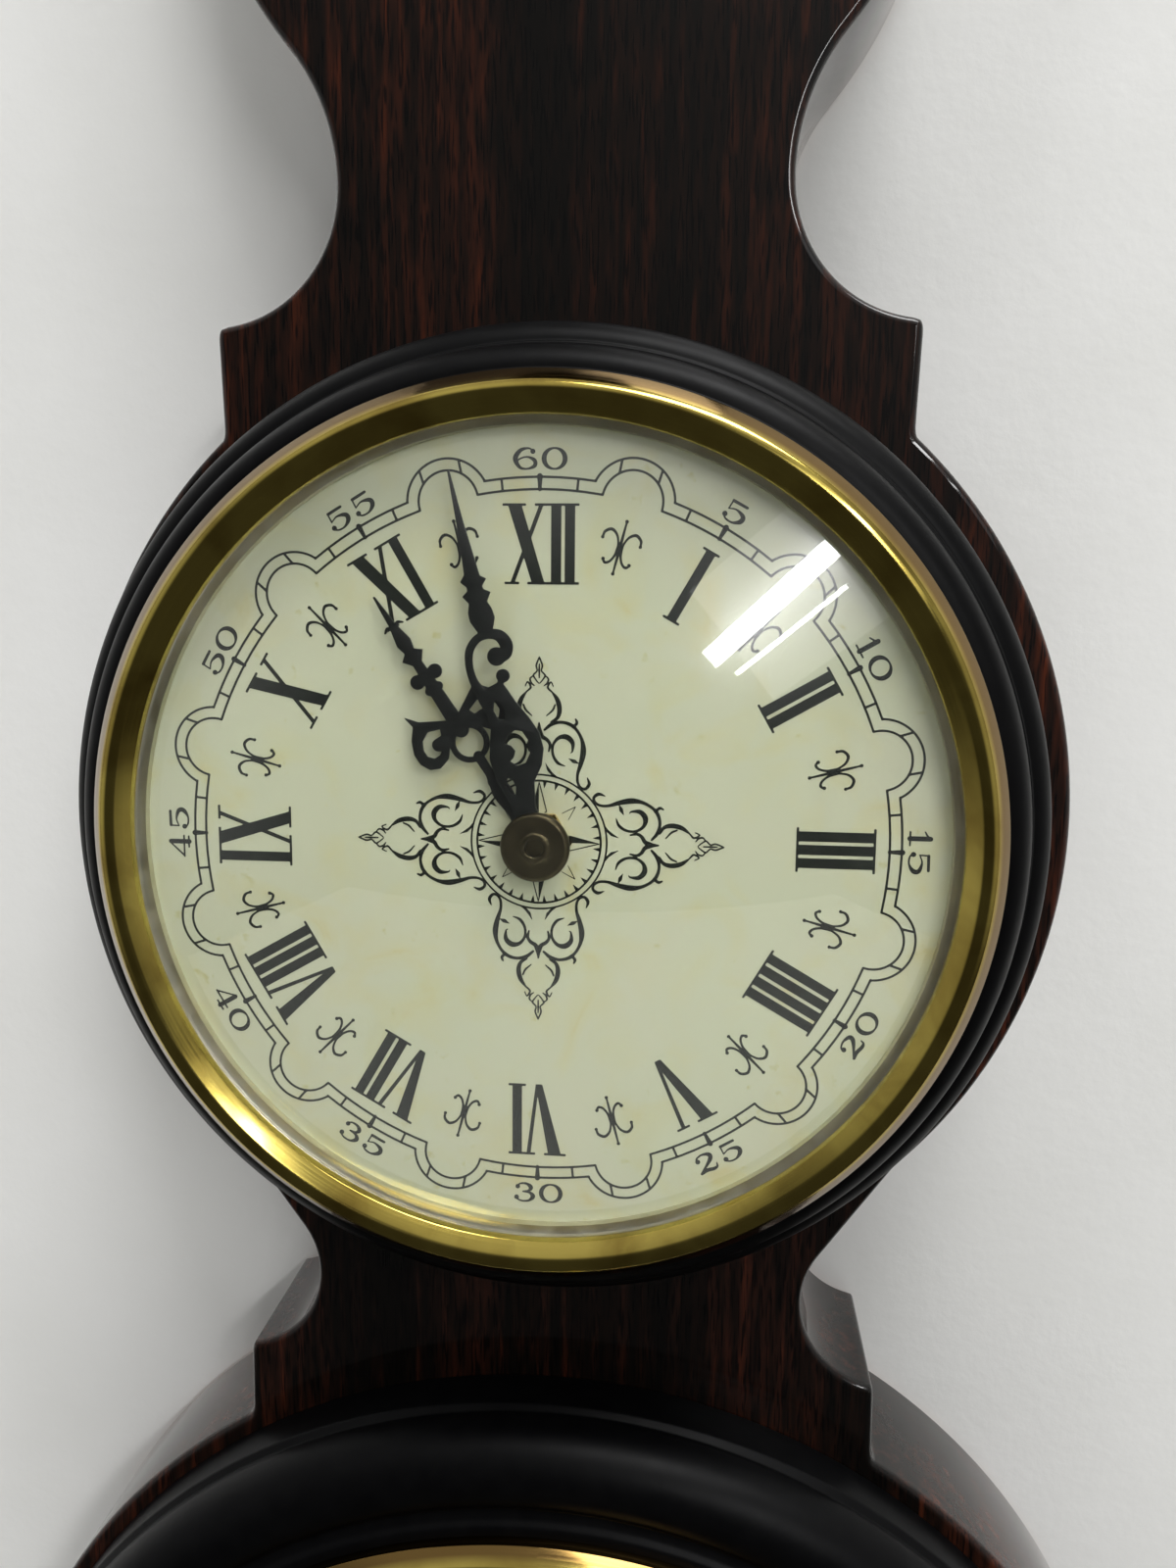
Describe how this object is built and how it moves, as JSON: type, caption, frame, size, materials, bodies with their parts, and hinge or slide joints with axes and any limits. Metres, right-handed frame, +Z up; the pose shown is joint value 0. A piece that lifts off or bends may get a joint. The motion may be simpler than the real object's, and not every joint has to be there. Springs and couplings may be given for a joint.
{
  "type": "wall weather station",
  "caption": "Shaped mahogany wall board with a thermometer, a domed round clock and a domed aneroid barometer below it.",
  "frame": {"origin": "centre of the hanging hole, in the plane of the wall", "axes": "+Z up, +X to the viewer's right, +Y into the wall; the front faces -Y"},
  "size_m": [0.2498, 0.0804, 0.699],
  "materials": {
    "mahogany": "dark mahogany veneer under gloss lacquer",
    "black_lacquer": "turned wood, satin black lacquer",
    "polished_brass": "polished and lacquered",
    "dark_brass": "bronzed",
    "bronze": "dark bronzed, satin",
    "plate_brass": "machined, satin",
    "dome_glass": "clear, domed",
    "tube_glass": "clear",
    "printed_dial": "ivory lacquer with dark print",
    "blackened_steel": "blackened",
    "steel": "turned bright",
    "spring_steel": "blued",
    "capsule_metal": "pressed nickel silver",
    "can_steel": "zinc plated",
    "black_plastic": "moulded",
    "grey_plastic": "moulded",
    "battery_jacket": "printed steel jacket, bare of marks",
    "red_alcohol": "dyed alcohol",
    "felt": "pressed felt"
  },
  "bodies": {
    "case": {"case_board": "mahogany", "hanger_plate": "polished_brass", "hanger_screws": "steel", "wall_pads": "felt", "clock_ring": "black_lacquer", "clock_ring_screws": "steel", "clock_bezel": "polished_brass", "clock_glass": "dome_glass", "clock_dial": "printed_dial", "clock_spacer": "dark_brass", "bush_nut": "polished_brass", "centre_bush": "polished_brass", "movement_case": "black_plastic", "movement_cover": "black_plastic", "drive_unit": "grey_plastic", "battery": "battery_jacket", "battery_contacts": "steel", "minute_wheel_post": "steel", "baro_ring": "black_lacquer", "baro_ring_screws": "steel", "baro_bezel": "polished_brass", "baro_glass": "dome_glass", "baro_dial": "printed_dial", "baro_spacer": "dark_brass", "glass_bush": "polished_brass", "hairspring": "spring_steel", "sector_pivot": "steel", "arbor_cock": "plate_brass", "top_plate": "plate_brass", "pillars": "polished_brass", "base_plate": "plate_brass", "capsule": "capsule_metal", "capsule_post": "steel", "bridge_spring": "spring_steel", "pull_lever": "steel", "dust_can": "can_steel", "thermo_surround": "black_lacquer", "surround_screws": "steel", "thermo_frame": "polished_brass", "scale_plate": "printed_dial", "plate_screws": "polished_brass", "thermo_tube": "tube_glass", "alcohol_column": "red_alcohol", "tube_clips": "polished_brass"},
    "minute_works": {"minute_arbor": "plate_brass", "minute_hand": "blackened_steel", "hand_nut": "bronze", "setting_knob": "black_plastic"},
    "hour_works": {"hour_wheel": "plate_brass", "hour_hand": "blackened_steel"},
    "motion_wheel": {"minute_wheel": "plate_brass"},
    "sector": {"sector": "plate_brass"},
    "pointer": {"hand_arbor": "steel", "pressure_hand": "blackened_steel"},
    "set_pointer": {"set_knob": "polished_brass", "set_hand": "polished_brass"},
    "adjuster": {"adjusting_screw": "polished_brass"}
  },
  "joints": [
    {"name": "minute_spin", "type": "hinge", "parent": "case", "child": "minute_works", "pos_m": [0, -0.059, -0.276], "axis": [0, 1, 0], "continuous": true},
    {"name": "hour_spin", "type": "hinge", "parent": "case", "child": "hour_works", "pos_m": [0, -0.056, -0.276], "axis": [0, 1, 0], "continuous": true},
    {"name": "motion_spin", "type": "hinge", "parent": "case", "child": "motion_wheel", "pos_m": [0, -0.053, -0.264], "axis": [0, 1, 0], "continuous": true},
    {"name": "sector_swing", "type": "hinge", "parent": "case", "child": "sector", "pos_m": [0, -0.038, -0.5445], "axis": [0, 1, 0], "range_deg": [-11, 14]},
    {"name": "pointer_turn", "type": "hinge", "parent": "case", "child": "pointer", "pos_m": [0, -0.045, -0.512], "axis": [0, 1, 0], "range_deg": [-168, 132]},
    {"name": "set_turn", "type": "hinge", "parent": "case", "child": "set_pointer", "pos_m": [0, -0.069, -0.512], "axis": [0, 1, 0], "continuous": true},
    {"name": "adjust_turn", "type": "hinge", "parent": "case", "child": "adjuster", "pos_m": [0.021, -0.018, -0.512], "axis": [0, 1, 0], "range_deg": [-360, 360]}
  ],
  "couplings": [
    {"joint": "hour_spin", "follows": "minute_spin", "ratio": 0.083333},
    {"joint": "motion_spin", "follows": "minute_spin", "ratio": -0.33333},
    {"joint": "pointer_turn", "follows": "sector_swing", "ratio": -12}
  ]
}
